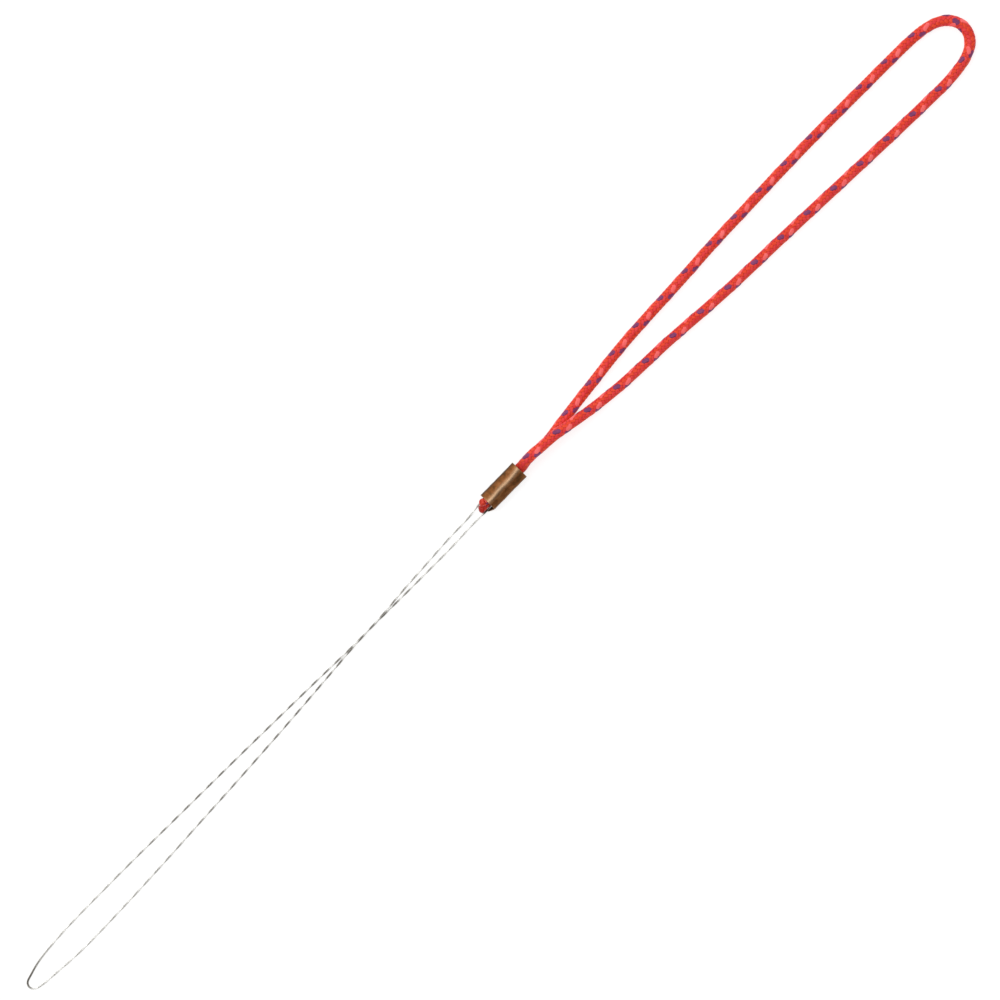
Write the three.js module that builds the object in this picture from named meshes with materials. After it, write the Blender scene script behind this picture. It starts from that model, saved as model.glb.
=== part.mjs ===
// A wire snare with a cord handle, for pulling a rubber plug through a tyre.
// Millimetres, +Z up. The tool lies on the plane z = 0 with its origin under the middle of the crimp
// sleeve, the cord handle towards +X and the wire snare towards -X.
import * as THREE from 'three';

// Crimp sleeve: a short piece of quarter-inch copper tube, pressed on a flat anvil under a V jaw.
const INCH = 25.4;
const SLEEVE_LENGTH = 14.5;
const SLEEVE_WIDTH = INCH / 4;
const SLEEVE_HEIGHT = 5.4;
const SLEEVE_WALL = 0.8;
const SLEEVE_FLAT = 3.4; // width of the flat underside
const SHOULDER_HEIGHT = 4.3; // where the side turns into the slanted roof
const SHOULDER_HALF_WIDTH = 2.5;
const RIDGE_HALF_WIDTH = 0.35;
const RIDGE_DROP = 0.1; // from the top of the rounded ridge to the ends of its curve
const SLEEVE_CURVE_SEGMENTS = 6;
const MOUTH = SLEEVE_LENGTH / 2; // the two mouths stand at x = -MOUTH and x = +MOUTH

// Cord: an eighth of an inch thick, a braided sheath round a core of straight yarns.
const CORD_DIAMETER = INCH / 8;
const SHEATH_BORE = 2.2;
const CORE_DIAMETER = 1.6;
const CORD_SIDES = 12;
const CORE_SIDES = 8;
const CORD_STEPS = 80;

// Snare wire: two fine wires twisted together, drawn as one round rope.
const WIRE_DIAMETER = 0.64;
const WIRE_SIDES = 8;
const WIRE_STEPS = 80;

// Inside the sleeve both cord legs are squeezed flat, one on the other, with a wire at each side.
const SQUEEZED_WIDTH = 2.5;
const SQUEEZED_HEIGHT = 1.4;
const UNDER_LEG_Z = 1.85;
const OVER_LEG_Z = 3.4;
const SQUEEZED_LEG_START = -7.1; // just inside the lower mouth
const LEG_STEPS = 16;
const WIRE_IN_SLEEVE_Z = 1.3;
const WIRE_SIDE_LEFT = 1.65; // y of the wire legs in the sleeve
const WIRE_SIDE_RIGHT = -1.65;
const WIRE_TAIL_START = 5.5; // the wire's cut ends stop inside the sleeve

// The handle and the snare bend where they leave the sleeve. The bends are at these places, and the
// legs fixed in the sleeve stop short of them so that the moving ends can turn.
const HANDLE_BEND_X = 12.5;
const HANDLE_BEND_Y = 0.5;
const HANDLE_BEND_ROOM = 1.9;
const SNARE_BEND_X = -14;
const SNARE_BEND_ROOM = 0.5;
const WIRE_TURN_X = -10; // between the mouth and the bend the wire legs start to draw together
const WIRE_TURN_Z = 1.2;

// The cord's ends are melted into beads just outside the lower mouth.
const OVER_BEAD = { middle: [-8.75, 1.1, 3.8], radii: [1.2, 1.15, 1] };
const UNDER_BEAD = { middle: [-9.85, -0.2, 1.85], radii: [1.3, 1.25, 1.1] };
const BEAD_SEGMENTS = 16;
const BEAD_RINGS = 10;

// The handle's route, from the bend round the loop and back. It starts with the leg that lies flat
// all the way. The other leg climbs onto it as the two draw together, and stays on top to the sleeve.
const LYING = CORD_DIAMETER / 2;
const STACKED = 4.85;
const HANDLE_ROUTE = [
  [HANDLE_BEND_X, HANDLE_BEND_Y, LYING],
  [16.5, 0.15, LYING],
  [20.5, 0.1, LYING],
  [24.4, 0.55, LYING],
  [36, 1.95, LYING],
  [42, 2.6, LYING],
  [54, 3.9, LYING],
  [66, 4.7, LYING],
  [89, 5.6, LYING],
  [101, 6.2, LYING],
  [113, 6.5, LYING],
  [138, 7, LYING],
  [163, 6.95, LYING],
  [175, 6.8, LYING],
  [190.6, 6.5, LYING],
  [199.4, 5.2, LYING],
  [204.3, 2.2, LYING],
  [206.2, -2.4, LYING],
  [204.4, -7.1, LYING],
  [200.3, -9.6, LYING],
  [194.6, -10.8, LYING],
  [182.6, -11, LYING],
  [163, -10.3, LYING],
  [139, -9.2, LYING],
  [115, -8.1, LYING],
  [91, -7.05, LYING],
  [79, -6.1, LYING],
  [67, -5.2, LYING],
  [55, -4.7, LYING],
  [43, -3.7, 1.75],
  [36.5, -2.8, 2.5],
  [30.5, -1.8, 3.6],
  [27.5, -1.2, 4.3],
  [24.4, -0.6, 4.75],
  [20.5, -0.15, STACKED],
  [16.5, 0.2, STACKED],
  [HANDLE_BEND_X, HANDLE_BEND_Y, STACKED],
];

// The snare's route, from the bend to the tip and back. Its two legs cross once, the first one on
// top, before the loop opens.
const ON_TABLE = WIRE_DIAMETER / 2;
const CROSSING = 1.3;
const SNARE_ROUTE = [
  [SNARE_BEND_X - SNARE_BEND_ROOM, 0.95, 1.1],
  [-22, 0.8, 1.1],
  [-34, 0.25, 1.2],
  [-45, -0.3, CROSSING],
  [-56, -1.1, CROSSING],
  [-68, -1.55, CROSSING],
  [-80, -2.3, CROSSING],
  [-92, -3.1, 0.7],
  [-104, -3.85, ON_TABLE],
  [-116, -4.5, ON_TABLE],
  [-128, -5.1, ON_TABLE],
  [-140, -5.6, ON_TABLE],
  [-164, -6.65, ON_TABLE],
  [-188, -7.3, ON_TABLE],
  [-202, -7.15, ON_TABLE],
  [-211, -6.45, ON_TABLE],
  [-216.6, -5.8, ON_TABLE],
  [-218.3, -5.1, ON_TABLE],
  [-219, -3.6, ON_TABLE],
  [-218.3, -2.1, ON_TABLE],
  [-216.6, -1.4, ON_TABLE],
  [-213, -0.4, ON_TABLE],
  [-206, 0.6, ON_TABLE],
  [-196, 1.1, ON_TABLE],
  [-182, 1.15, ON_TABLE],
  [-168, 1.05, ON_TABLE],
  [-156, 0.8, ON_TABLE],
  [-138, 0.45, ON_TABLE],
  [-120, 0.1, ON_TABLE],
  [-96, -0.5, ON_TABLE],
  [-84, -0.85, ON_TABLE],
  [-72, -1.25, ON_TABLE],
  [-60, -1.4, ON_TABLE],
  [-48, -1.6, ON_TABLE],
  [-36, -1.75, ON_TABLE],
  [-24, -1.75, 0.6],
  [SNARE_BEND_X - SNARE_BEND_ROOM, -1.55, 0.9],
];

const COPPER = new THREE.MeshStandardMaterial({ color: 0x9c6236, roughness: 0.4, metalness: 1 });
const RED_NYLON = new THREE.MeshStandardMaterial({ color: 0xe23b26, roughness: 0.75, metalness: 0 });
const MELTED_NYLON = new THREE.MeshStandardMaterial({ color: 0xc02a22, roughness: 0.3, metalness: 0 });
const WHITE_YARN = new THREE.MeshStandardMaterial({ color: 0xe8e2d6, roughness: 0.85, metalness: 0 });
const STEEL = new THREE.MeshStandardMaterial({ color: 0x9a958c, roughness: 0.35, metalness: 1 });

// Turns a section drawn in x and y, extruded along z, so that it runs along +X with its y up.
const ALONG_X = new THREE.Matrix4().makeBasis(
  new THREE.Vector3(0, 1, 0),
  new THREE.Vector3(0, 0, 1),
  new THREE.Vector3(1, 0, 0),
);

// A smooth curve that gives its points by the route's own points, so that steps crowd where they do.
class Route extends THREE.CatmullRomCurve3 {
  constructor(points) {
    super(points.map((point) => new THREE.Vector3(...point)));
  }

  getPointAt(share, target) {
    return this.getPoint(share, target);
  }

  getTangentAt(share, target) {
    return this.getTangent(share, target);
  }
}

function ring(path, radius, sides) {
  for (let side = 0; side < sides; side += 1) {
    const angle = (side / sides) * Math.PI * 2;
    const x = radius * Math.cos(angle);
    const y = radius * Math.sin(angle);
    if (side === 0) {
      path.moveTo(x, y);
    } else {
      path.lineTo(x, y);
    }
  }
  path.closePath();
  return path;
}

function tube(route, diameter, sides, steps, boreDiameter = 0) {
  const section = ring(new THREE.Shape(), diameter / 2, sides);
  if (boreDiameter > 0) {
    section.holes.push(ring(new THREE.Path(), boreDiameter / 2, CORE_SIDES));
  }
  return new THREE.ExtrudeGeometry(section, { steps, extrudePath: route });
}

// The sleeve's outline, or with an inset its bore's.
function sleeveOutline(path, inset) {
  const halfWidth = SLEEVE_WIDTH / 2 - inset;
  const halfFlat = SLEEVE_FLAT / 2 - inset / 2;
  const top = SLEEVE_HEIGHT - inset;
  const shoulder = SHOULDER_HEIGHT - inset;
  const shoulderY = SHOULDER_HALF_WIDTH - inset / 2;
  const middle = SLEEVE_HEIGHT / 2;
  path.moveTo(-halfFlat, inset);
  path.lineTo(halfFlat, inset);
  path.quadraticCurveTo(halfWidth, inset, halfWidth, middle);
  path.quadraticCurveTo(halfWidth, shoulder - inset / 2, shoulderY, shoulder);
  path.lineTo(RIDGE_HALF_WIDTH, top - RIDGE_DROP);
  path.quadraticCurveTo(0, top + RIDGE_DROP, -RIDGE_HALF_WIDTH, top - RIDGE_DROP);
  path.lineTo(-shoulderY, shoulder);
  path.quadraticCurveTo(-halfWidth, shoulder - inset / 2, -halfWidth, middle);
  path.quadraticCurveTo(-halfWidth, inset, -halfFlat, inset);
  return path;
}

function sleeve() {
  const section = sleeveOutline(new THREE.Shape(), 0);
  section.holes.push(sleeveOutline(new THREE.Path(), SLEEVE_WALL));
  const geometry = new THREE.ExtrudeGeometry(section, {
    depth: SLEEVE_LENGTH,
    bevelEnabled: false,
    curveSegments: SLEEVE_CURVE_SEGMENTS,
  });
  geometry.translate(0, 0, -MOUTH);
  return geometry.applyMatrix4(ALONG_X);
}

// A leg of the cord fixed in the sleeve: flat in the bore, round again where it comes out.
// boreZ is the height of its middle in the bore, and bendZ where it stops before the handle's bend.
function squeezedLeg(boreZ, bendZ) {
  const end = HANDLE_BEND_X - HANDLE_BEND_ROOM;
  const section = ring(new THREE.Shape(), 1, CORD_SIDES);
  const geometry = new THREE.ExtrudeGeometry(section, {
    depth: end - SQUEEZED_LEG_START,
    steps: LEG_STEPS,
    bevelEnabled: false,
  });
  geometry.translate(0, 0, SQUEEZED_LEG_START).applyMatrix4(ALONG_X);
  const points = geometry.attributes.position;
  for (let i = 0; i < points.count; i += 1) {
    const out = THREE.MathUtils.smoothstep(points.getX(i), MOUTH, end);
    const y = HANDLE_BEND_Y * out;
    const z = THREE.MathUtils.lerp(boreZ, bendZ, out);
    const halfWidth = THREE.MathUtils.lerp(SQUEEZED_WIDTH, CORD_DIAMETER, out) / 2;
    const halfHeight = THREE.MathUtils.lerp(SQUEEZED_HEIGHT, CORD_DIAMETER, out) / 2;
    points.setY(i, y + halfWidth * points.getY(i));
    points.setZ(i, z + halfHeight * points.getZ(i));
  }
  return geometry;
}

function bead({ middle, radii }) {
  const geometry = new THREE.SphereGeometry(1, BEAD_SEGMENTS, BEAD_RINGS);
  return geometry.scale(...radii).translate(...middle);
}

// A leg of the wire fixed in the sleeve: straight in the bore, then in towards the snare's bend.
function wireTail(y, turnY, bendY, bendZ) {
  const end = SNARE_BEND_X + SNARE_BEND_ROOM;
  const route = new Route([
    [WIRE_TAIL_START, y, WIRE_IN_SLEEVE_Z],
    [0, y, WIRE_IN_SLEEVE_Z],
    [-MOUTH, y, WIRE_IN_SLEEVE_Z],
    [WIRE_TURN_X, turnY, WIRE_TURN_Z],
    [end, bendY, bendZ],
  ]);
  return tube(route, WIRE_DIAMETER, WIRE_SIDES, LEG_STEPS);
}

function piece(name, geometry, material) {
  const mesh = new THREE.Mesh(geometry, material);
  mesh.name = name;
  return mesh;
}

const crimp = new THREE.Group();
crimp.add(
  piece('crimp_sleeve', sleeve(), COPPER),
  piece('cord_tail_over', squeezedLeg(OVER_LEG_Z, STACKED), RED_NYLON.clone()),
  piece('cord_tail_under', squeezedLeg(UNDER_LEG_Z, LYING), RED_NYLON.clone()),
  piece('melted_end_over', bead(OVER_BEAD), MELTED_NYLON),
  piece('melted_end_under', bead(UNDER_BEAD), MELTED_NYLON.clone()),
  piece('wire_tail_left', wireTail(WIRE_SIDE_LEFT, 1.45, 0.95, 1.1), STEEL.clone()),
  piece('wire_tail_right', wireTail(WIRE_SIDE_RIGHT, -1.65, -1.55, 0.9), STEEL.clone()),
);

const handleRoute = new Route(HANDLE_ROUTE);
const handle = new THREE.Group();
handle.add(
  piece('handle_sheath', tube(handleRoute, CORD_DIAMETER, CORD_SIDES, CORD_STEPS, SHEATH_BORE), RED_NYLON),
  piece('handle_core', tube(handleRoute, CORE_DIAMETER, CORE_SIDES, CORD_STEPS), WHITE_YARN),
);

const snare = new THREE.Group();
snare.add(piece('snare_wire', tube(new Route(SNARE_ROUTE), WIRE_DIAMETER, WIRE_SIDES, WIRE_STEPS), STEEL));

const tool = new THREE.Group();
tool.add(crimp, handle, snare);

export default tool;
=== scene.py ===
"""Looks of a wire snare with a cord handle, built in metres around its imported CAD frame.

The cord is a braid of sixteen yarns round straight core yarns, and the snare is two wires twisted
together. Both run in one length through the crimp sleeve, so each is swept along one whole line.
"""

import math

import bmesh
import bpy
import numpy as np
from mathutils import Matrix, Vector


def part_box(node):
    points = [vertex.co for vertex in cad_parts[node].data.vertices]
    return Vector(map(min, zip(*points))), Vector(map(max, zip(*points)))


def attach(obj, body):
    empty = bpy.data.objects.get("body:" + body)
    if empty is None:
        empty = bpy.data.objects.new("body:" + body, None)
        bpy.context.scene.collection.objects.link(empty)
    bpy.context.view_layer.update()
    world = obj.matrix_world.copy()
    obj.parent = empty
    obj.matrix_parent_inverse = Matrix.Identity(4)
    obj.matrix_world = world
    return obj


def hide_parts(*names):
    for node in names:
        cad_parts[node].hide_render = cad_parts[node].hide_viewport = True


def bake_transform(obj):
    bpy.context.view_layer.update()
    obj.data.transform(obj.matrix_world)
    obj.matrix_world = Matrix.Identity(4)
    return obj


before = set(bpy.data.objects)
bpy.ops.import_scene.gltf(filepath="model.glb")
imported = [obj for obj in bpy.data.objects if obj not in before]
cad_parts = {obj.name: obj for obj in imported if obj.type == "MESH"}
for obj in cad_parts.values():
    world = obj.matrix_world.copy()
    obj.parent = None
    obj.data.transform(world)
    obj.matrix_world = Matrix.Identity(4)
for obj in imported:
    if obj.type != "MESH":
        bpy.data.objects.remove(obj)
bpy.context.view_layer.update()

# ---------------------------------------------------------------- sizes and places, in metres

SLEEVE_LOW, SLEEVE_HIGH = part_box("crimp_sleeve")
LOWER_MOUTH = SLEEVE_LOW.x
UPPER_MOUTH = SLEEVE_HIGH.x
SLEEVE_WALL = 0.0008

CORD_DIAMETER = 0.003175
WIRE_DIAMETER = 0.00064

# The handle's route from the sleeve round the loop and back, as the CAD model has it.
LYING = CORD_DIAMETER / 2
STACKED = 0.00485
HANDLE_BEND_X = 0.0125
HANDLE_BEND_Y = 0.0005
HANDLE_ROUTE = [
    (HANDLE_BEND_X, HANDLE_BEND_Y, LYING),
    (0.0165, 0.00015, LYING),
    (0.0205, 0.0001, LYING),
    (0.0244, 0.00055, LYING),
    (0.036, 0.00195, LYING),
    (0.042, 0.0026, LYING),
    (0.054, 0.0039, LYING),
    (0.066, 0.0047, LYING),
    (0.089, 0.0056, LYING),
    (0.101, 0.0062, LYING),
    (0.113, 0.0065, LYING),
    (0.138, 0.007, LYING),
    (0.163, 0.00695, LYING),
    (0.175, 0.0068, LYING),
    (0.1906, 0.0065, LYING),
    (0.1994, 0.0052, LYING),
    (0.2043, 0.0022, LYING),
    (0.2062, -0.0024, LYING),
    (0.2044, -0.0071, LYING),
    (0.2003, -0.0096, LYING),
    (0.1946, -0.0108, LYING),
    (0.1826, -0.011, LYING),
    (0.163, -0.0103, LYING),
    (0.139, -0.0092, LYING),
    (0.115, -0.0081, LYING),
    (0.091, -0.00705, LYING),
    (0.079, -0.0061, LYING),
    (0.067, -0.0052, LYING),
    (0.055, -0.0047, LYING),
    (0.043, -0.0037, 0.00175),
    (0.0365, -0.0028, 0.0025),
    (0.0305, -0.0018, 0.0036),
    (0.0275, -0.0012, 0.0043),
    (0.0244, -0.0006, 0.00475),
    (0.0205, -0.00015, STACKED),
    (0.0165, 0.0002, STACKED),
    (HANDLE_BEND_X, HANDLE_BEND_Y, STACKED),
]

# The cord's two legs in the sleeve, each from its melted end to the handle's bend.
UNDER_LEG_Z = 0.00185
OVER_LEG_Z = 0.0034
UNDER_LEG = [
    (-0.0098, -0.0002, UNDER_LEG_Z),
    (-0.0068, 0, UNDER_LEG_Z),
    (-0.002, 0, UNDER_LEG_Z),
    (0.005, 0, UNDER_LEG_Z),
    (0.0075, 0.0001, 0.0018),
    (0.0096, 0.0003, 0.0016),
]
OVER_LEG = [
    (-0.0087, 0.00105, 0.00375),
    (-0.0068, 0.0006, 0.0036),
    (-0.004, 0.0001, OVER_LEG_Z),
    (0.001, 0, OVER_LEG_Z),
    (0.0055, 0.0001, OVER_LEG_Z),
    (0.0075, 0.0002, 0.0036),
    (0.0096, 0.0004, 0.00445),
]

# The snare's route from the sleeve to its tip and back, as the CAD model has it.
ON_TABLE = WIRE_DIAMETER / 2
CROSSING = 0.0013
SNARE_START_X = -0.0145
SNARE_ROUTE = [
    (SNARE_START_X, 0.00095, 0.0011),
    (-0.022, 0.0008, 0.0011),
    (-0.034, 0.00025, 0.0012),
    (-0.045, -0.0003, CROSSING),
    (-0.056, -0.0011, CROSSING),
    (-0.068, -0.00155, CROSSING),
    (-0.08, -0.0023, CROSSING),
    (-0.092, -0.0031, 0.0007),
    (-0.104, -0.00385, ON_TABLE),
    (-0.116, -0.0045, ON_TABLE),
    (-0.128, -0.0051, ON_TABLE),
    (-0.14, -0.0056, ON_TABLE),
    (-0.164, -0.00665, ON_TABLE),
    (-0.188, -0.0073, ON_TABLE),
    (-0.202, -0.00715, ON_TABLE),
    (-0.211, -0.00645, ON_TABLE),
    (-0.2166, -0.0058, ON_TABLE),
    (-0.2183, -0.0051, ON_TABLE),
    (-0.219, -0.0036, ON_TABLE),
    (-0.2183, -0.0021, ON_TABLE),
    (-0.2166, -0.0014, ON_TABLE),
    (-0.213, -0.0004, ON_TABLE),
    (-0.206, 0.0006, ON_TABLE),
    (-0.196, 0.0011, ON_TABLE),
    (-0.182, 0.00115, ON_TABLE),
    (-0.168, 0.00105, ON_TABLE),
    (-0.156, 0.0008, ON_TABLE),
    (-0.138, 0.00045, ON_TABLE),
    (-0.12, 0.0001, ON_TABLE),
    (-0.096, -0.0005, ON_TABLE),
    (-0.084, -0.00085, ON_TABLE),
    (-0.072, -0.00125, ON_TABLE),
    (-0.06, -0.0014, ON_TABLE),
    (-0.048, -0.0016, ON_TABLE),
    (-0.036, -0.00175, ON_TABLE),
    (-0.024, -0.00175, 0.0006),
    (SNARE_START_X, -0.00155, 0.0009),
]

# The wire's two ends in the sleeve, each from its cut end to the snare's bend.
WIRE_IN_SLEEVE_Z = 0.0013
LEFT_END = [
    (0.0055, 0.00165, WIRE_IN_SLEEVE_Z),
    (0, 0.00165, WIRE_IN_SLEEVE_Z),
    (LOWER_MOUTH, 0.00165, WIRE_IN_SLEEVE_Z),
    (-0.01, 0.00145, 0.0012),
]
RIGHT_END = [
    (0.0055, -0.00165, WIRE_IN_SLEEVE_Z),
    (0, -0.00165, WIRE_IN_SLEEVE_Z),
    (LOWER_MOUTH, -0.00165, WIRE_IN_SLEEVE_Z),
    (-0.01, -0.00165, 0.0012),
]

CORD_ROUTE = UNDER_LEG + HANDLE_ROUTE + OVER_LEG[::-1]
WIRE_ROUTE = LEFT_END + SNARE_ROUTE + RIGHT_END[::-1]

# The braid: eight yarns turn one way round the cord and eight the other, each over two and under two.
YARNS_EACH_WAY = 8
BRAID_PITCH = 0.011585
BRAID_RADIUS = 0.00128  # middle of the sheath
YARN_LIFT = 0.00018  # how far a yarn rises over the others and dips under them
YARN_FLOAT_SHAPE = 2.6  # how suddenly it does so
YARN_HALF_WIDTH = 0.00052
YARN_SWELL = 0.00005  # a yarn spreads this much where it is on top
TRACER_RISE = 0.00008  # the coloured tracer yarns stand this much prouder than the red ones,
TRACER_LINGERS = 0.82  # stay on top for longer,
TRACER_FULLNESS = 1.12  # are this much wider,
TRACER_STRAIGHTENS = 0.7  # and there run more along the cord, by this share of their turn
YARN_HALF_THICKNESS = 0.00017
YARN_STEP = BRAID_PITCH / 40
YARN_ACROSS = np.array([1, 0.9, 0.55, 0, -0.55, -0.9, -1, -0.5, 0.5])  # its flattened section: the
YARN_RISE = np.array([0, 0.62, 0.93, 1, 0.93, 0.62, 0, -1, -1])  # share of its half width and thickness
BLUE_SHOWS_AT = 0.0186  # first middle of a blue float, from the handle's bend
BLUE_COLUMN = math.radians(41.8)  # angle of those floats, from the cord's top towards its left
PINK_BEHIND_BLUE = 7 / 16 * BRAID_PITCH
LOOP_TWIST = math.radians(118.7)  # turn of the whole braid round the loop's tip
MOUTH_TWIST = math.radians(-24)  # and of the upper leg as it comes to the sleeve
MOUTH_TWIST_LENGTH = 0.012
PULLED_ALONG = [  # how far the weave is pulled from an even pitch, by distance from the handle's bend
    (0, -0.0013),
    (0.018, -0.0009),
    (0.042, 0),
    (0.138, 0),
    (0.157, -0.0008),
    (0.17, -0.0011),
    (0.195, 0),
    (0.222, 0.001),
    (0.262, 0.0005),
    (0.3, 0),
    (0.346, 0),
    (0.361, 0.001),
    (0.385, 0.002),
    (0.397, 0.0026),
]
LOOP_TWIST_HALF_LENGTH = 0.022  # the loop's turn is spread this far to each side of its tip
CORE_RADIUS = 0.00096
CORE_YARNS = 9
CORE_RIB = 0.05  # how far its yarns stand out, as a share of its radius
CORE_SIDES_TO_A_YARN = 3
CORE_STEP = 0.0008
CORE_TURN = 40  # radians in a metre

# The cord's width and height, as shares of a round cord's, and where they change.
IN_SLEEVE = (0.81, 0.46)
EASED_AT_MOUTH = (0.25, 0.06)  # added towards the upper mouth
EASES_FROM = -0.002
EASES_TO = 0.0065
LYING_FREE = (1.03, 0.97)
OPENS_WITHIN = 0.0035  # beyond the upper mouth
WIDER_AT_TIP = 0.1  # added to the width round the loop's tip
WIDENS_FROM = 0.2
WIDENS_TO = 0.205
AT_MELTED_END = (0.75, 0.62)
NARROWS_FROM = LOWER_MOUTH + 0.0015
NARROWS_TO = LOWER_MOUTH - 0.0012

DARKER_NEAR_SLEEVE_LENGTH = 0.009  # the cord is painted darker this far out of the sleeve,
DARKER_NEAR_SLEEVE_AMOUNT = 0.4  # and this much where it leaves it

WIRE_LAY = 0.0103
STRAND_RADIUS = 0.28 * WIRE_DIAMETER
STRAND_OFFSET = 0.23 * WIRE_DIAMETER  # from the middle of the wire to the middle of each strand
STRAND_SIDES = 10
STRAND_STEP = 0.0004
LIES_FLAT = (0.2135, 0.2285)  # no twist between these distances from the lower mouth, round the tip
TARNISH = [  # how dark the wires are, by distance from the lower mouth
    (0.001, 0.5),
    (0.004, 0.25),
    (0.03, 0.3),
    (0.045, 0.55),
    (0.06, 0.75),
    (0.11, 0.6),
    (0.14, 0.45),
    (0.165, 0.25),
    (0.19, 0.1),
    (0.211, 0.1),
    (0.2145, 0.85),
    (0.219, 0.75),
    (0.224, 0.3),
    (0.235, 0.15),
    (0.245, 0.15),
    (0.26, 0.3),
    (0.285, 0.6),
    (0.3, 0.65),
    (0.385, 0.6),
    (0.4, 0.25),
    (0.4205, 0.1),
    (0.4225, 1),
]

UP = np.array([0.0, 0.0, 1.0])


# ---------------------------------------------------------------- lines

def smoothstep(low, high, value):
    share = np.clip((value - low) / (high - low), 0, 1)
    return share * share * (3 - 2 * share)


def unit(vectors):
    return vectors / np.linalg.norm(vectors, axis=-1, keepdims=True)


def lengths_along(points):
    steps = np.linalg.norm(np.diff(points, axis=0), axis=1)
    return np.concatenate([[0], np.cumsum(steps)])


def smooth_line(route, step):
    """Points about a step apart on the natural cubic spline through the route's points."""
    knots = np.array(route, float)
    at = lengths_along(knots)
    gaps = np.diff(at)
    count = len(knots)
    system = np.eye(count)
    wanted = np.zeros((count, 3))
    slopes = np.diff(knots, axis=0) / gaps[:, None]
    for i in range(1, count - 1):
        system[i, i - 1] = gaps[i - 1]
        system[i, i] = 2 * (gaps[i - 1] + gaps[i])
        system[i, i + 1] = gaps[i]
        wanted[i] = 6 * (slopes[i] - slopes[i - 1])
    bends = np.linalg.solve(system, wanted)
    places = np.linspace(0, at[-1], int(at[-1] / step) + 1)
    piece = np.clip(np.searchsorted(at, places, side="right") - 1, 0, count - 2)
    gap = gaps[piece][:, None]
    after = (places - at[piece])[:, None]
    before = gap - after
    cubic = (bends[piece] * before**3 + bends[piece + 1] * after**3) / (6 * gap)
    start = (knots[piece] / gap - bends[piece] * gap / 6) * before
    end = (knots[piece + 1] / gap - bends[piece + 1] * gap / 6) * after
    return cubic + start + end


class Line:
    """A route as a smooth line that knows its middle, up and left at any distance along it."""

    def __init__(self, route, step=0.0002):
        self.points = smooth_line(route, step)
        self.along = lengths_along(self.points)
        self.length = self.along[-1]
        forward = unit(np.gradient(self.points, axis=0))
        up = unit(UP - forward * forward[:, 2:3])
        left = np.cross(up, forward)
        self.columns = np.hstack([self.points, up, left]).T

    def at(self, along):
        found = np.stack([np.interp(along, self.along, column) for column in self.columns], axis=-1)
        return found[..., 0:3], found[..., 3:6], found[..., 6:9]

    def nearest(self, point):
        """How far along the line its nearest place to a point is."""
        return self.along[np.argmin(np.linalg.norm(self.points - np.array(point), axis=1))]


# ---------------------------------------------------------------- meshes

def grid_faces(rings, sides, first):
    """The faces of a tube of rings, each a row of four vertex numbers."""
    ring, side = np.meshgrid(np.arange(rings - 1), np.arange(sides), indexing="ij")
    beside = (side + 1) % sides
    corners = [ring * sides + side, ring * sides + beside]
    corners += [(ring + 1) * sides + beside, (ring + 1) * sides + side]
    return first + np.stack(corners, axis=-1).reshape(-1, 4)


def tube_mesh(name, tubes, wraps, paints=None):
    """One mesh of several closed tubes. tubes holds their rings of points, wraps the distance along each
    tube at each ring, for a map whose u goes once round the tube and whose v is that distance in mm.
    paints holds numbers for the points of each tube, by the name that the material reads them by."""
    points = []
    faces = []
    caps = []
    uvs = []
    first = 0
    for tube, wrap in zip(tubes, wraps):
        rings, sides = tube.shape[:2]
        points.append(tube.reshape(-1, 3))
        faces.append(grid_faces(rings, sides, first))
        caps.append(list(range(first + sides - 1, first - 1, -1)))
        last = first + (rings - 1) * sides
        caps.append(list(range(last, last + sides)))
        ring, side = np.meshgrid(np.arange(rings - 1), np.arange(sides), indexing="ij")
        u = np.stack([side, side + 1, side + 1, side], axis=-1) / sides
        v = np.stack([wrap[ring], wrap[ring], wrap[ring + 1], wrap[ring + 1]], axis=-1) * 1000
        uvs.append(np.stack([u, v], axis=-1).reshape(-1, 2))
        first += rings * sides
    mesh = bpy.data.meshes.new(name)
    mesh.from_pydata(np.concatenate(points).tolist(), [], np.concatenate(faces).tolist() + caps)
    layer = mesh.uv_layers.new(name="yarn")
    flat = np.zeros((len(mesh.loops), 2), np.float32)
    strips = np.concatenate(uvs)
    flat[: len(strips)] = strips
    layer.data.foreach_set("uv", flat.ravel())
    for paint_name, values in (paints or {}).items():
        paint(mesh, paint_name, np.concatenate([value.ravel() for value in values]))
    return finished(name, mesh)


def paint(mesh, name, values):
    """Keeps a number for each of the mesh's points, for its material to read."""
    mesh.attributes.new(name, "FLOAT", "POINT").data.foreach_set("value", values.astype(np.float32))


def finished(name, mesh):
    mesh.shade_smooth()
    mesh.update()
    made = bpy.data.objects.new(name, mesh)
    bpy.context.scene.collection.objects.link(made)
    return made


# ---------------------------------------------------------------- materials

def new_node(tree, kind, inputs=None, **settings):
    """Adds a shader node. inputs are sockets to join to it or plain values, by the input's name."""
    node = tree.nodes.new("ShaderNode" + kind)
    for name, value in settings.items():
        setattr(node, name, value)
    for name, value in (inputs or {}).items():
        if isinstance(value, bpy.types.NodeSocket):
            tree.links.new(value, node.inputs[name])
        else:
            node.inputs[name].default_value = value
    return node


def new_material(name, **constants):
    material = bpy.data.materials.new(name)
    material.use_nodes = True
    tree = material.node_tree
    shader = tree.nodes["Principled BSDF"]
    for socket, value in constants.items():
        shader.inputs[socket.replace("_", " ")].default_value = value
    return material, tree, shader


def noise(tree, place, scale, stretch=(1, 1, 1), detail=3.0, roughness=0.55):
    """Noise from 0 to 1 at a place, scale features to a unit, drawn out by stretch."""
    mapping = new_node(tree, "Mapping", {"Vector": place, "Scale": stretch})
    inputs = {"Vector": mapping.outputs["Vector"], "Scale": scale, "Detail": detail, "Roughness": roughness}
    return new_node(tree, "TexNoise", inputs).outputs["Fac"]


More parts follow.
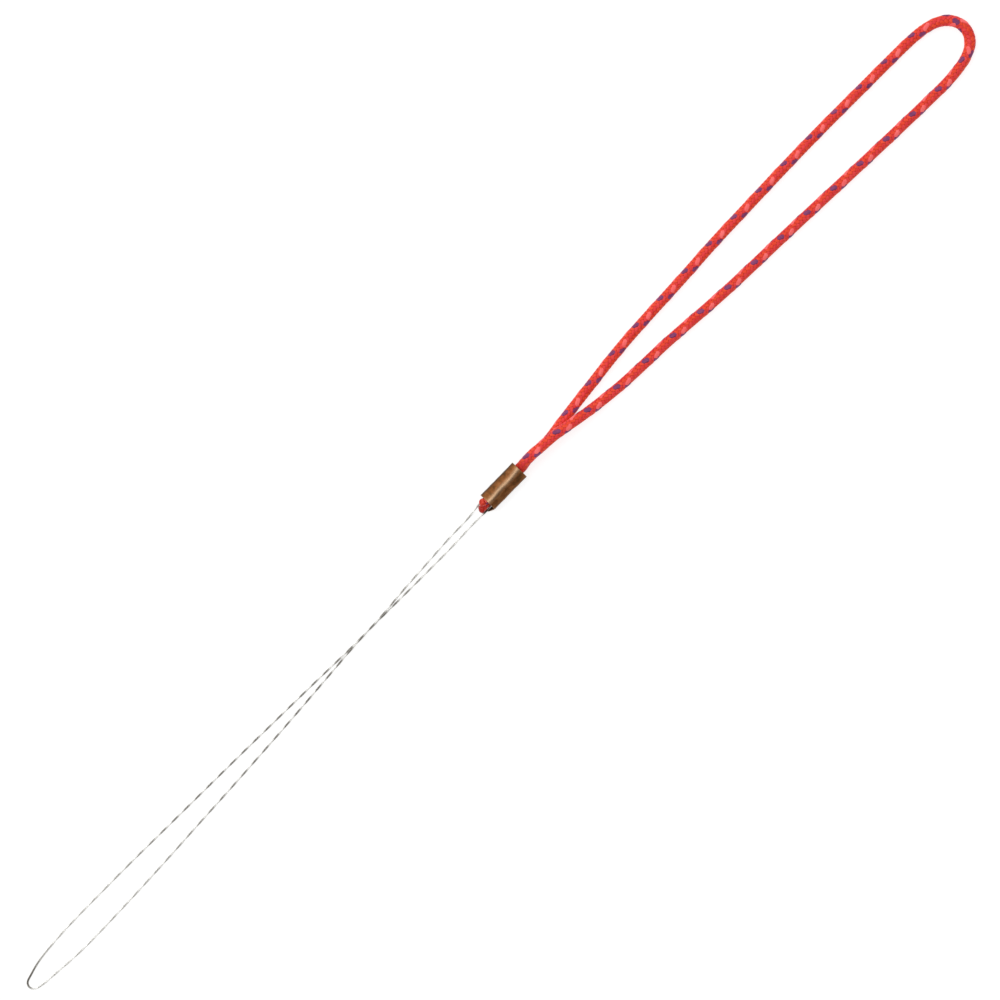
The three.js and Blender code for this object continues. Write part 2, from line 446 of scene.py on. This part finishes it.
def ramp(tree, factor, stops):
    """Colours along a factor: stops are (position, colour)."""
    node = new_node(tree, "ValToRGB", {"Fac": factor})
    elements = node.color_ramp.elements
    while len(elements) < len(stops):
        elements.new(0.5)
    for element, (position, colour) in zip(elements, stops):
        element.position = position
        element.color = (*colour, 1)
    return node.outputs["Color"]


def spread(tree, factor, low, high, to_low, to_high):
    """The factor, stretched from low..high to to_low..to_high."""
    inputs = {"Value": factor, "From Min": low, "From Max": high, "To Min": to_low, "To Max": to_high}
    return new_node(tree, "MapRange", inputs).outputs["Result"]


def mixed(tree, factor, one, other, blend_type="MIX"):
    node = new_node(tree, "Mix", data_type="RGBA", blend_type=blend_type)
    for socket, value in (("Factor_Float", factor), ("A_Color", one), ("B_Color", other)):
        target = next(i for i in node.inputs if i.identifier == socket)
        if isinstance(value, bpy.types.NodeSocket):
            tree.links.new(value, target)
        else:
            target.default_value = value if isinstance(value, float) else (*value, 1)
    return next(o for o in node.outputs if o.identifier == "Result_Color")


def bumped(tree, shader, height, strength, distance):
    inputs = {"Height": height, "Strength": strength, "Distance": distance}
    bump = new_node(tree, "Bump", inputs)
    tree.links.new(bump.outputs["Normal"], shader.inputs["Normal"])


def yarn_material(name, deep, body, bright):
    """A flat bundle of nylon filaments: streaks along the yarn in colour, gloss and height, over
    slower changes along it, with painted shade where it dives under the other yarns and along its
    edges, and painted darker near the sleeve."""
    constants = {"Sheen_Weight": 0.08, "Sheen_Roughness": 0.4, "IOR": 1.53, "Specular_IOR_Level": 0.22}
    material, tree, shader = new_material(name, **constants)
    place = new_node(tree, "UVMap", uv_map="yarn").outputs["UV"]
    depth = new_node(tree, "Attribute", attribute_name="depth").outputs["Fac"]
    filaments = noise(tree, place, 1.0, (44, 0.25, 1), detail=2.0)
    bundles = noise(tree, place, 1.0, (9, 0.5, 1), detail=3.0)
    patches = noise(tree, place, 1.0, (1.2, 0.4, 1), detail=2.0)
    streaks = ramp(tree, filaments, [(0.25, deep), (0.45, body), (0.75, bright)])
    shaded = ramp(tree, bundles, [(0.2, deep), (0.45, body), (0.8, bright)])
    colour = mixed(tree, 0.5, streaks, shaded)
    faded = mixed(tree, spread(tree, patches, 0.4, 0.7, 0.0, 0.5), colour, bright)
    # painted shade: the depth value darkens the yarn towards its deep colour where it dives, along its edges
    # and near the sleeve
    shadowed = mixed(tree, spread(tree, depth, 0.15, 0.9, 0.0, 0.85), faded, deep)
    tree.links.new(shadowed, shader.inputs["Base Color"])
    tree.links.new(spread(tree, filaments, 0.3, 0.7, 0.62, 0.4), shader.inputs["Roughness"])
    height = new_node(tree, "Math", {0: filaments, 1: bundles}, operation="ADD").outputs[0]
    bumped(tree, shader, height, 0.5, 0.00003)
    return material


def core_material():
    material, tree, shader = new_material("core_yarn", Sheen_Weight=0.2, IOR=1.53)
    place = new_node(tree, "UVMap", uv_map="yarn").outputs["UV"]
    filaments = noise(tree, place, 1.0, (60, 0.1, 1), detail=3.0)
    tint = ramp(tree, filaments, [(0.3, (0.34, 0.05, 0.035)), (0.7, (0.62, 0.2, 0.16))])
    tree.links.new(tint, shader.inputs["Base Color"])
    tree.links.new(spread(tree, filaments, 0.3, 0.7, 0.8, 0.6), shader.inputs["Roughness"])
    bumped(tree, shader, filaments, 0.6, 0.00003)
    return material


def melted_material(name, stops):
    """Nylon that has melted and set: dark glossy red with scorched patches and shallow wrinkles."""
    material, tree, shader = new_material(name, IOR=1.53, Specular_IOR_Level=0.2, Coat_Weight=0.03)
    place = new_node(tree, "TexCoord").outputs["Object"]
    swirls = noise(tree, place, 900.0, detail=4.0)
    scorch = noise(tree, place, 420.0, detail=3.0)
    red = ramp(tree, swirls, stops)
    burnt = spread(tree, scorch, 0.52, 0.68, 0.0, 0.7)
    colour = mixed(tree, burnt, red, (0.09, 0.012, 0.01))
    tree.links.new(colour, shader.inputs["Base Color"])
    tree.links.new(spread(tree, swirls, 0.3, 0.7, 0.2, 0.42), shader.inputs["Roughness"])
    bumped(tree, shader, swirls, 0.35, 0.00008)
    return material


def copper_material():
    """Copper tube gone brown in the air: pressing marks along it, grimy sides, painted shade in its bore,
    and brighter where wear has polished its rims and its ridge, where the brighter colour is also a painted
    highlight."""
    material, tree, shader = new_material("aged_copper", Metallic=1.0)
    place = new_node(tree, "TexCoord").outputs["Object"]
    wear_and_highlight = new_node(tree, "Attribute", attribute_name="wear_and_highlight").outputs["Fac"]
    grime_and_bore_shade = new_node(tree, "Attribute", attribute_name="grime_and_bore_shade").outputs["Fac"]
    clouds = noise(tree, place, 520.0, detail=4.0)
    marks = noise(tree, place, 1.0, (260, 2600, 2600), detail=4.0, roughness=0.65)
    specks = noise(tree, place, 2600.0, detail=3.0)
    stops = [(0.32, (0.13, 0.06, 0.02)), (0.48, (0.27, 0.1, 0.03)), (0.68, (0.36, 0.155, 0.055))]
    patina = ramp(tree, clouds, stops)
    streaked = mixed(tree, spread(tree, marks, 0.42, 0.7, 0.0, 0.5), patina, (0.13, 0.05, 0.02))
    # grimy sides, and painted shade in the bore
    grimy_and_shaded = mixed(tree, grime_and_bore_shade, streaked, (0.085, 0.055, 0.032))
    between_marks = spread(tree, marks, 0.25, 0.6, 1.1, 0.6)
    brightened = new_node(tree, "Math", {0: wear_and_highlight, 1: between_marks}, operation="MULTIPLY")
    # brighter copper where wear polished the rims and ridge; on the ridge it is also a painted highlight
    bright = mixed(tree, brightened.outputs[0], grimy_and_shaded, (0.54, 0.37, 0.23))
    pitted = mixed(tree, spread(tree, specks, 0.62, 0.74, 0.0, 0.6), bright, (0.08, 0.04, 0.022))
    tree.links.new(pitted, shader.inputs["Base Color"])
    rough = spread(tree, marks, 0.3, 0.7, 0.55, 0.42)
    tree.links.new(rough, shader.inputs["Roughness"])
    height = new_node(tree, "Math", {0: marks, 1: specks}, operation="SUBTRACT").outputs[0]
    bumped(tree, shader, height, 0.35, 0.00005)
    return material


def steel_material():
    """Drawn steel wire: brown where it is tarnished, less so where the two wires are stacked, which is a
    painted highlight, and painted shade between the two wires, deeper where they are tarnished."""
    material, tree, shader = new_material("snare_steel", Metallic=1.0)
    place = new_node(tree, "UVMap", uv_map="yarn").outputs["UV"]
    groove_shade = new_node(tree, "Attribute", attribute_name="depth").outputs["Fac"]
    tarnish_with_highlight = new_node(tree, "Attribute", attribute_name="tarnish_with_highlight").outputs["Fac"]
    drawn = noise(tree, place, 1.0, (14, 0.12, 1), detail=3.0)
    stains = noise(tree, place, 1.0, (1.5, 0.35, 1), detail=4.0)
    bare = ramp(tree, drawn, [(0.3, (0.72, 0.71, 0.68)), (0.7, (0.9, 0.89, 0.86))])
    stained = mixed(tree, spread(tree, stains, 0.5, 0.75, 0.0, 0.3), bare, (0.45, 0.42, 0.36))
    # painted highlight: the tarnishing is lessened where the two wires are stacked
    brown = mixed(tree, tarnish_with_highlight, stained, (0.13, 0.115, 0.09))
    # painted shade between the two wires, deeper where they are tarnished
    shade_by_tarnish = new_node(tree, "Math", {0: tarnish_with_highlight, 1: 0.7, 2: 0.2}, operation="MULTIPLY_ADD", use_clamp=True)
    groove_shade_amount = new_node(tree, "Math", {0: groove_shade, 1: shade_by_tarnish.outputs[0]}, operation="MULTIPLY")
    dark = mixed(tree, groove_shade_amount.outputs[0], brown, (0.07, 0.06, 0.05))
    tree.links.new(dark, shader.inputs["Base Color"])
    tree.links.new(spread(tree, drawn, 0.3, 0.7, 0.45, 0.28), shader.inputs["Roughness"])
    bumped(tree, shader, drawn, 0.3, 0.00001)
    return material


def floor_material():
    """A pale panel that glows a little, so that shadows on it stay faint."""
    material, tree, shader = new_material("pale_floor", Roughness=0.9, Emission_Strength=0.78)
    place = new_node(tree, "TexCoord").outputs["Object"]
    grain = noise(tree, place, 60.0, detail=3.0)
    pale = ramp(tree, grain, [(0.3, (0.29, 0.29, 0.29)), (0.7, (0.31, 0.31, 0.31))])
    tree.links.new(pale, shader.inputs["Base Color"])
    shader.inputs["Emission Color"].default_value = (1, 1, 1, 1)
    return material


# ---------------------------------------------------------------- camera, floor and light

CAMERA_TARGET = Vector((-0.004, -0.0023, 0.0))
VIEW_WIDTH = 0.3175  # what the picture's width takes in, at the table
CAMERA_TURN = math.radians(-45.65)  # the tool lies across the picture, its handle towards the upper right
LENS = 200.0
SENSOR = 36.0


def add_camera():
    camera = bpy.data.objects.new("camera", bpy.data.cameras.new("camera"))
    bpy.context.scene.collection.objects.link(camera)
    camera.data.lens = LENS
    camera.data.sensor_width = SENSOR
    camera.data.clip_start = 0.01
    camera.data.clip_end = 50
    height = VIEW_WIDTH * LENS / SENSOR
    camera.location = CAMERA_TARGET + Vector((0, 0, height))
    camera.rotation_euler = (0, 0, CAMERA_TURN)
    bpy.context.scene.camera = camera


def add_floor():
    size = 12.0
    mesh = bpy.data.meshes.new("floor")
    corners = [(-size, -size, 0), (size, -size, 0), (size, size, 0), (-size, size, 0)]
    mesh.from_pydata(corners, [], [(0, 1, 2, 3)])
    floor = bpy.data.objects.new("floor", mesh)
    bpy.context.scene.collection.objects.link(floor)
    mesh.materials.append(floor_material())


def add_light(name, place, size, power):
    """A square softbox that points at the sleeve."""
    light = bpy.data.lights.new(name, "AREA")
    light.size = size
    light.energy = power
    made = bpy.data.objects.new(name, light)
    made.location = place
    made.rotation_euler = (-Vector(place)).to_track_quat("-Z", "Y").to_euler()
    made.visible_camera = False
    bpy.context.scene.collection.objects.link(made)


def set_world():
    """A white room, dim towards -Y, with a dark patch there at about fifty degrees up."""
    world = bpy.data.worlds.new("studio")
    bpy.context.scene.world = world
    world.use_nodes = True
    tree = world.node_tree
    background = tree.nodes["Background"]
    direction = new_node(tree, "TexCoord").outputs["Generated"]
    side = new_node(tree, "VectorMath", {0: direction, 1: (0.0, 1.0, 0.0)}, operation="DOT_PRODUCT")
    bright = spread(tree, side.outputs["Value"], -0.7, 0.5, 0.6, 0.93)
    dark_side = (0.0, -0.66, 0.75)
    facing = new_node(tree, "VectorMath", {0: direction, 1: dark_side}, operation="DOT_PRODUCT")
    patch = spread(tree, facing.outputs["Value"], 0.82, 0.97, 1.0, 0.2)
    strength = new_node(tree, "Math", {0: bright, 1: patch}, operation="MULTIPLY")
    tree.links.new(strength.outputs[0], background.inputs["Strength"])
    background.inputs["Color"].default_value = (1, 1, 1, 1)


def add_studio():
    add_camera()
    add_floor()
    add_light("key", place=(-0.25, 0.7, 1.35), size=0.7, power=3.6)
    add_light("top", place=(0.1, 0.1, 1.6), size=1.0, power=3.6)
    set_world()
    bpy.context.scene.view_settings.view_transform = "Standard"


# ---------------------------------------------------------------- the cord

def squeeze(x):
    """How much the cord is widened and flattened from round at x: (across, upright). Lying free it is
    slightly flat, and flatter round the loop's tip."""
    out = smoothstep(UPPER_MOUTH, UPPER_MOUTH + OPENS_WITHIN, x)
    mouth = smoothstep(EASES_FROM, EASES_TO, x)
    at_tip = smoothstep(WIDENS_FROM, WIDENS_TO, x)
    across = (IN_SLEEVE[0] + EASED_AT_MOUTH[0] * mouth) * (1 - out)
    across = across + (LYING_FREE[0] + WIDER_AT_TIP * at_tip) * out
    upright = (IN_SLEEVE[1] + EASED_AT_MOUTH[1] * mouth) * (1 - out) + LYING_FREE[1] * out
    end = smoothstep(NARROWS_FROM, NARROWS_TO, x)
    return across * (1 - end) + AT_MELTED_END[0] * end, upright * (1 - end) + AT_MELTED_END[1] * end


def on_cord(line, along, angle, radius):
    """The point at a distance along the cord, an angle from its top towards its left, and a radius."""
    middle, up, left = line.at(along)
    across, upright = squeeze(middle[..., 0])
    rise = (radius * upright * np.cos(angle))[..., None]
    aside = (radius * across * np.sin(angle))[..., None]
    return middle + up * rise + left * aside


def braid_twist(line, along):
    """How far the whole braid has turned at a distance along the cord."""
    tip = line.nearest(max(HANDLE_ROUTE))
    last_bend = line.nearest(HANDLE_ROUTE[-1])
    at_tip = smoothstep(tip - LOOP_TWIST_HALF_LENGTH, tip + LOOP_TWIST_HALF_LENGTH, along)
    at_mouth = smoothstep(last_bend - MOUTH_TWIST_LENGTH, last_bend, along)
    return LOOP_TWIST * at_tip + MOUTH_TWIST * at_mouth


def yarn(line, hand, number):
    """One yarn of the braid: its rings of points, the distance along the cord at each ring, and how dark
    each point is painted: painted shade where it dives under the others and along its edges, and
    darker near the sleeve. hand is 1 for the yarns that turn left over the cord's top and -1 for
    those that turn right. Number 0 of each hand is the coloured tracer."""
    tracer = number == 0
    bend = line.nearest(HANDLE_ROUTE[0])
    float_at = BLUE_SHOWS_AT if hand < 0 else BLUE_SHOWS_AT + PINK_BEHIND_BLUE
    column = BLUE_COLUMN if hand < 0 else BLUE_COLUMN - math.pi / 4
    along = np.arange(0, line.length, YARN_STEP)
    pulled = np.interp(along - bend, *np.array(PULLED_ALONG).T)
    turn = 2 * math.pi * (along - bend - pulled - float_at) / BRAID_PITCH
    turned = turn - np.sin(4 * turn) / 4 * (TRACER_STRAIGHTENS if tracer else 0)
    angle = column + hand * turned + 2 * math.pi * number / YARNS_EACH_WAY
    wave = np.cos(4 * turn + math.pi * number) + (TRACER_LINGERS if tracer else 0)
    on_top = np.tanh(YARN_FLOAT_SHAPE * wave) / math.tanh(YARN_FLOAT_SHAPE)

    lean = np.arctan(BRAID_RADIUS * np.gradient(turned, along))[:, None]
    half_width = (YARN_HALF_WIDTH + YARN_SWELL * on_top) * (TRACER_FULLNESS if tracer else 1)
    aside = half_width[:, None] * YARN_ACROSS
    middle = BRAID_RADIUS + YARN_LIFT * on_top + (TRACER_RISE if tracer else 0)
    radius = middle[:, None] + YARN_HALF_THICKNESS * YARN_RISE
    ring_along = along[:, None] - hand * aside * np.sin(lean)
    ring_angle = angle[:, None] + aside * np.cos(lean) / BRAID_RADIUS
    rings = on_cord(line, ring_along, ring_angle + braid_twist(line, ring_along), radius)
    # painted shade where the yarn dives under the others and along its edges
    dive_shade = smoothstep(0.5, -0.8, wave)[:, None]
    edge_shade = smoothstep(0.5, 1.0, abs(YARN_ACROSS))
    # painted darker near the upper mouth
    near_sleeve_darkening = DARKER_NEAR_SLEEVE_AMOUNT * smoothstep(UPPER_MOUTH + DARKER_NEAR_SLEEVE_LENGTH, UPPER_MOUTH, rings[..., 0])
    return rings, along + number * 0.1, np.maximum(np.maximum(dive_shade, 0.7 * edge_shade), near_sleeve_darkening)


def braid_piece(name, line, hand, numbers, material):
    rings, wraps, painted_darkness = zip(*[yarn(line, hand, number) for number in numbers])
    piece = tube_mesh(name, rings, wraps, {"depth": painted_darkness})
    piece.data.materials.append(material)
    return piece


def core_piece(line):
    """The straight yarns inside the braid, as one ribbed rod."""
    sides = CORE_YARNS * CORE_SIDES_TO_A_YARN
    angle = np.arange(sides) / sides * 2 * math.pi
    ribs = CORE_RADIUS * (1 + CORE_RIB * np.cos(CORE_YARNS * angle))
    along = np.arange(0, line.length, CORE_STEP)
    ring_along = np.repeat(along[:, None], sides, axis=1)
    ring_angle = angle[None, :] + ring_along * CORE_TURN
    rings = on_cord(line, ring_along, ring_angle, np.tile(ribs, (len(along), 1)))
    piece = tube_mesh("cord_core", [rings], [along])
    piece.data.materials.append(core_material())
    return piece


def add_cord():
    line = Line(CORD_ROUTE)
    # painted light: both hands of yarn are one red, tinted apart, brighter orange-red and deeper red, for the
    # different light each hand of floats catches
    red_lit_tint = yarn_material("yarn_red_lit_tint", (0.25, 0.007, 0.005), (0.8, 0.036, 0.01), (0.95, 0.1, 0.04))
    red = yarn_material("yarn_red_shaded_tint", (0.22, 0.005, 0.007), (0.75, 0.023, 0.023), (0.95, 0.08, 0.08))
    blue = yarn_material("blue_yarn", (0.09, 0.008, 0.04), (0.18, 0.03, 0.12), (0.34, 0.07, 0.2))
    pink = yarn_material("pink_yarn", (0.72, 0.03, 0.03), (1.0, 0.12, 0.12), (1.0, 0.22, 0.21))
    others = range(1, YARNS_EACH_WAY)
    right = braid_piece("cord_braid_right", line, -1, others, red_lit_tint)
    left = braid_piece("cord_braid_left", line, 1, others, red)
    blue_yarn = braid_piece("cord_tracer_blue", line, -1, [0], blue)
    pink_yarn = braid_piece("cord_tracer_pink", line, 1, [0], pink)
    core = core_piece(line)
    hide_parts("handle_sheath", "cord_tail_over", "cord_tail_under")
    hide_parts("handle_core")
    for piece in (right, left, blue_yarn, pink_yarn, core):
        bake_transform(piece)


# ---------------------------------------------------------------- the snare wire

def strand(line, half):
    """One of the two twisted wires: its rings of points, the distance along at each ring, how much painted
    shade each point gets where it faces the other wire, and how tarnished it is. Where one wire lies on the
    other it is painted less tarnished, as a painted highlight."""
    along = np.arange(0, line.length, STRAND_STEP)
    from_mouth = along - line.nearest((LOWER_MOUTH, *LEFT_END[-2][1:]))
    twisted = from_mouth - np.clip(from_mouth, *LIES_FLAT) + LIES_FLAT[0]
    angle = 2 * math.pi * (twisted - LIES_FLAT[0]) / WIRE_LAY + math.pi * (half + 0.5)
    middle, up, left = line.at(along)
    out = up * np.cos(angle)[:, None] + left * np.sin(angle)[:, None]
    beside = left * np.cos(angle)[:, None] - up * np.sin(angle)[:, None]
    around = np.arange(STRAND_SIDES) / STRAND_SIDES * 2 * math.pi
    centre = middle + out * STRAND_OFFSET
    ring_out = out[:, None, :] * np.cos(around)[None, :, None]
    ring_beside = beside[:, None, :] * np.sin(around)[None, :, None]
    rings = centre[:, None, :] + STRAND_RADIUS * (ring_out + ring_beside)
    # painted shade on the side of each wire that faces the other
    groove_shade = np.tile(smoothstep(0.2, -0.7, np.cos(around)), (len(along), 1))
    # painted highlight: less tarnished where one wire is stacked on the other
    brightened = smoothstep(0.5, 0.95, abs(np.cos(angle)))
    tarnish_less_highlight = np.interp(from_mouth, *np.array(TARNISH).T) * (1 - 0.8 * brightened)
    return rings, along + half * 0.5, groove_shade, np.tile(tarnish_less_highlight[:, None], (1, STRAND_SIDES))


def add_wire():
    line = Line(WIRE_ROUTE)
    rings, wraps, groove_shades, tarnish_less_highlights = zip(*[strand(line, half) for half in (0, 1)])
    # depth holds the painted shade between the wires
    piece = tube_mesh("snare_twisted_wire", rings, wraps, {"depth": groove_shades, "tarnish_with_highlight": tarnish_less_highlights})
    piece.data.materials.append(steel_material())
    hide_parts("snare_wire", "wire_tail_left", "wire_tail_right")
    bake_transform(piece)


# ---------------------------------------------------------------- the crimp sleeve

SLEEVE_AROUND = 144
SLEEVE_STATIONS = 90
RIM_RADIUS = 0.00016
RIDGE_HALF_WIDTH = 0.0008
RIDGE_DROP = 0.00022
FLAT_HALF_WIDTH = 0.0017  # of the underside
SHOULDER = (0.0025, 0.0043)  # y and z of the corner between a side and the roof
ROOF_PULL = (0.00185, 0.00493)  # y and z of the corner that rounds each half of the roof
ROOF_FROM = 0.003  # heights over which the side turns into the roof
ROOF_TO = 0.0052
FLARE = 0.018  # how much wider the tube is at its ends, as a share
FLARE_FROM = 0.0058
FLARE_TO = 0.0072
DENT_SIDEWAYS = 0.00003
DENT_UPRIGHT = 0.00004
LIP_LENGTH = 0.0021  # how far the lower mouth's bottom edge is bent out,
LIP_Y = -0.002  # about this place,
LIP_HALF_WIDTH = 0.0009
LIP_HEIGHT = 0.0024  # up to this height,
LIP_BENDS_WITHIN = 0.0025  # and starting this far inside the mouth
RIDGE_SWAY = [(-0.00725, -0.0001), (-0.005, -0.0001), (-0.0008, 0.00015), (0.0033, 0.0001), (0.00725, 0.0006)]


def curve_points(start, pull, end, count=24):
    """Points of a quadratic curve, without its last."""
    share = np.linspace(0, 1, count, endpoint=False)[:, None]
    start, pull, end = (np.array(point) for point in (start, pull, end))
    return start * (1 - share) ** 2 + pull * 2 * share * (1 - share) + end * share**2


def straight_points(start, end, count=24):
    share = np.linspace(0, 1, count, endpoint=False)[:, None]
    return np.array(start) * (1 - share) + np.array(end) * share


def sleeve_outline():
    """The pressed tube's outline in y and z, evenly spaced, from under its middle round by +Y."""
    half = (SLEEVE_HIGH.y - SLEEVE_LOW.y) / 2
    top = SLEEVE_HIGH.z
    middle = top / 2
    ridge_edge = (RIDGE_HALF_WIDTH, top - RIDGE_DROP)
    side = [
        straight_points((0, 0), (FLAT_HALF_WIDTH, 0)),
        curve_points((FLAT_HALF_WIDTH, 0), (half, 0), (half, middle)),
        curve_points((half, middle), (half, SHOULDER[1] - 0.0003), SHOULDER),
        curve_points(SHOULDER, ROOF_PULL, ridge_edge),
        curve_points(ridge_edge, (RIDGE_HALF_WIDTH / 2, top), (0, top)),
    ]
    right = np.concatenate([*side, [[0, top]]])
    left = right[-2:0:-1] * (-1, 1)
    loop = np.concatenate([right, left, right[:1]])
    at = lengths_along(loop)
    places = np.arange(SLEEVE_AROUND) / SLEEVE_AROUND * at[-1]
    even = np.stack([np.interp(places, at, column) for column in loop.T], axis=-1)
    for _ in range(3):  # rounds the corners a little
        even = (np.roll(even, 1, axis=0) + 2 * even + np.roll(even, -1, axis=0)) / 4
    return even


def sleeve_profile():
    """The wall's outline along x and its depth below the outside: out along the tube, round one rim,
    back through the bore and round the other rim."""
    quarter = np.linspace(0, math.pi / 2, 5)
    corner_x = UPPER_MOUTH - RIM_RADIUS * (1 - np.sin(quarter))
    outer_depth = RIM_RADIUS * (1 - np.cos(quarter))
    inner_depth = SLEEVE_WALL - outer_depth[::-1]
    outside = [(x, 0) for x in np.linspace(LOWER_MOUTH + 0.0004, UPPER_MOUTH - 0.0004, SLEEVE_STATIONS)]
    upper_rim = list(zip(corner_x, outer_depth)) + list(zip(corner_x[::-1], inner_depth))
    bore = [(x, SLEEVE_WALL) for x in np.linspace(UPPER_MOUTH - 0.0006, LOWER_MOUTH + 0.0006, 24)]
    lower_rim = [(-x, depth) for x, depth in upper_rim[::-1]]
    return np.array(outside + upper_rim + bore + lower_rim)


def dents(x, y, z):
    """Shallow waves 3 to 9 mm long, left by the pressing."""
    long_waves = np.sin(x * 900 + 1.0) * np.sin(y * 1300 + z * 700)
    return long_waves + 0.6 * np.sin(x * 2100 + z * 1900 + 2.0)


def sleeve_rings(profile):
    """The sleeve's x, y and z, a row for each step of its profile, and how far its ridge is swayed."""
    outline = sleeve_outline()
    half_height = SLEEVE_HIGH.z / 2
    shrink = 1 - profile[:, 1:] / half_height
    x = np.repeat(profile[:, :1], SLEEVE_AROUND, axis=1)
    y = outline[None, :, 0] * (0.5 + 0.5 * shrink)
    z = half_height + (outline[None, :, 1] - half_height) * shrink
    sway = np.interp(x, *np.array(RIDGE_SWAY).T)
    roof = smoothstep(ROOF_FROM, ROOF_TO, z)
    y = y + sway * roof
    dented = dents(x, y, z)
    flared = 1 + FLARE * smoothstep(FLARE_FROM, FLARE_TO, abs(x))
    y = y * flared + DENT_SIDEWAYS * dented * np.sign(y)
    z = z + DENT_UPRIGHT * dented * roof
    lip = np.exp(-(((y - LIP_Y) / LIP_HALF_WIDTH) ** 2)) * smoothstep(LIP_HEIGHT, 0.0008, z)
    x = x - LIP_LENGTH * lip * smoothstep(LOWER_MOUTH + LIP_BENDS_WITHIN, LOWER_MOUTH, x)
    return x, y, z, sway


def paint_sleeve(mesh, profile, x, y, z, sway):
    """Paints where the sleeve is polished by wear, along its ridge and its rims, with the ridge's brightness
    also a painted highlight, where it is grimy, on its sides, and painted shade in its bore."""
    depth = profile[:, 1:]
    outside = smoothstep(0.0004, 0.0, depth)
    # polished ridge, also a painted highlight
    ridge = np.exp(-(((y - sway) / 0.0007) ** 2)) * smoothstep(0.0046, 0.0052, z) * outside
    rim = smoothstep(0.0069, 0.00722, abs(x)) * 0.3
    paint(mesh, "wear_and_highlight", np.maximum(ridge, rim * outside).ravel())
    side = smoothstep(0.0023, 0.0031, abs(y)) * np.where(y > 0, 0.85, 0.4)
    # painted shade in the bore
    bore_shade = smoothstep(0.0003, SLEEVE_WALL, depth)
    paint(mesh, "grime_and_bore_shade", np.maximum(side, 0.7 * bore_shade).ravel())


def add_sleeve():
    profile = sleeve_profile()
    x, y, z, sway = sleeve_rings(profile)
    points = np.stack([x, y, z], axis=-1)
    rings = len(points)
    faces = grid_faces(rings + 1, SLEEVE_AROUND, 0) % (rings * SLEEVE_AROUND)
    mesh = bpy.data.meshes.new("sleeve_pressed_copper")
    mesh.from_pydata(points.reshape(-1, 3).tolist(), [], faces.tolist())
    paint_sleeve(mesh, profile, x, y, z, sway)
    made = finished("sleeve_pressed_copper", mesh)
    mesh.materials.append(copper_material())
    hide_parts("crimp_sleeve")
    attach(made, "crimp")


# ---------------------------------------------------------------- the cord's melted ends

def add_bead(name, node, stretch, shift, lumps, material):
    """Nylon that melted into a lump, round a CAD node's place. lumps are the waves of its surface: the
    direction and closeness of each, where it starts and its height as a share of the radius."""
    low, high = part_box(node)
    centre = (low + high) / 2 + Vector(shift)
    half = (high - low) / 2
    shape = bmesh.new()
    bmesh.ops.create_icosphere(shape, subdivisions=5, radius=1)
    for vertex in shape.verts:
        way = vertex.co.normalized()
        wave = sum(size * math.sin(Vector(pull) @ way + turn) for pull, turn, size in lumps)
        grown = way * (1 + wave)
        vertex.co = Vector((grown.x * half.x, grown.y * half.y, grown.z * half.z)) * stretch + centre
    mesh = bpy.data.meshes.new(name)
    shape.to_mesh(mesh)
    shape.free()
    made = finished(name, mesh)
    mesh.materials.append(material)
    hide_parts(node)
    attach(made, "crimp")


def add_melted_ends():
    # the upper bead's brighter red stands partly for its highlight: a painted highlight
    brighter_red_with_highlight = [(0.3, (0.26, 0.012, 0.008)), (0.5, (0.6, 0.035, 0.015)), (0.75, (0.95, 0.11, 0.05))]
    dark_red = [(0.3, (0.18, 0.006, 0.004)), (0.5, (0.4, 0.012, 0.006)), (0.75, (0.62, 0.03, 0.015))]
    upper = melted_material("melted_nylon", brighter_red_with_highlight)
    lower = melted_material("scorched_nylon", dark_red)
    over_lumps = [((3, 1, 2), 0.4, 0.06), ((-2, 4, 1), 1.3, 0.05), ((5, -3, 6), 2.1, 0.025)]
    under_lumps = [((2, -3, 1), 0.9, 0.07), ((4, 2, -3), 0.2, 0.045), ((-6, 5, 3), 1.7, 0.025)]
    add_bead("melted_end_upper", "melted_end_over", 1.14, (0.00035, -0.0001, 0), over_lumps, upper)
    add_bead("melted_end_lower", "melted_end_under", 1.04, (0, 0, 0), under_lumps, lower)


add_studio()
add_cord()
add_wire()
add_sleeve()
add_melted_ends()
